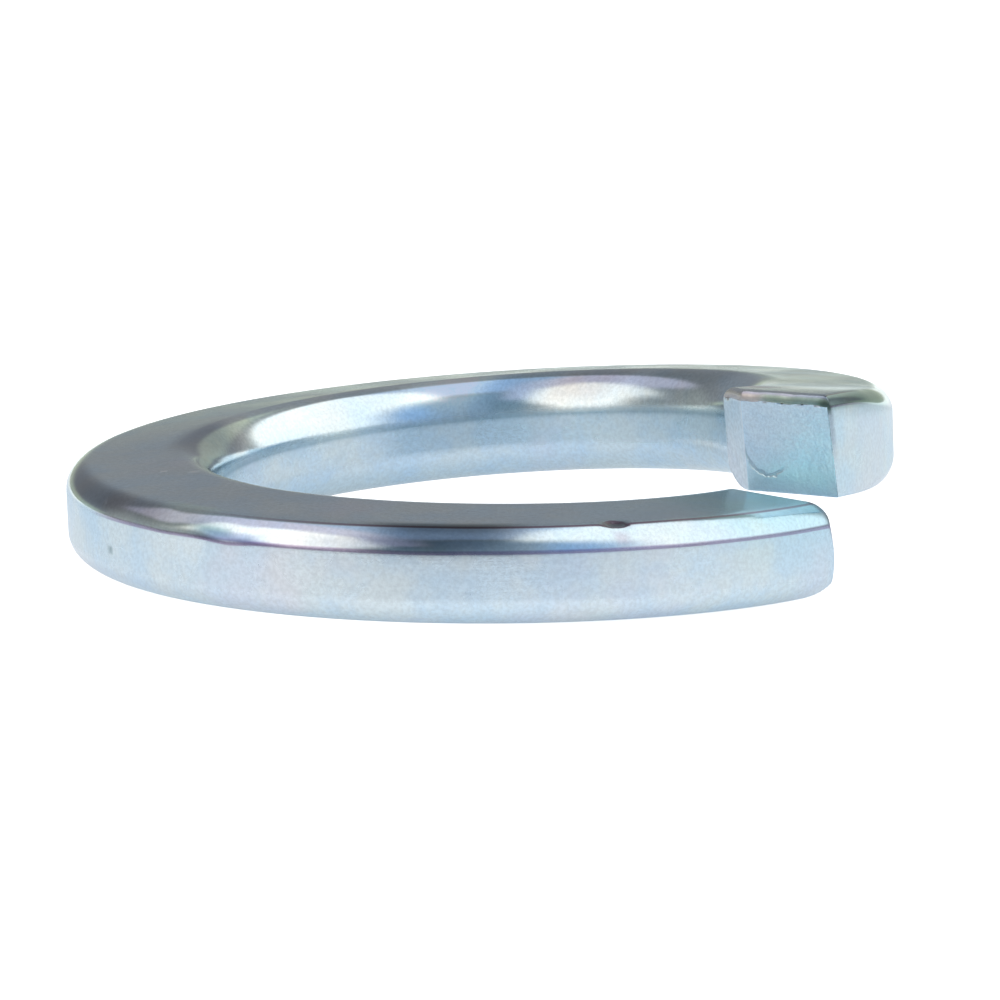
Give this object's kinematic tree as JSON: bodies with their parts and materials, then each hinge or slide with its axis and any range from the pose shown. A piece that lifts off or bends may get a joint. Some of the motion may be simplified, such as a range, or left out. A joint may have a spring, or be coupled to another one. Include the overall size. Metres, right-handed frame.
{
  "type": "spring lock washer",
  "caption": "Split spring lock washer for a 20 mm bolt: one left-hand coil of keystoned zinc-plated steel wire with rolled corners and skewed, sprung-apart sheared ends.",
  "frame": {"origin": "on the axis of the bore, level with the lowest point of the coil, which is on the lower bearing face beside the cut", "axes": "+Z along the axis of the bore, up; +X through the middle of the cut; the coil climbs clockwise seen from above, from the lower end just clockwise of +X to the upper end just counterclockwise of it"},
  "size_m": [0.0332, 0.0332, 0.008],
  "materials": {
    "zinc_plate": "bright zinc plate, smooth and reflective, with a faint colour cast"
  },
  "bodies": {
    "root": {"lock_washer": "zinc_plate"}
  },
  "joints": []
}
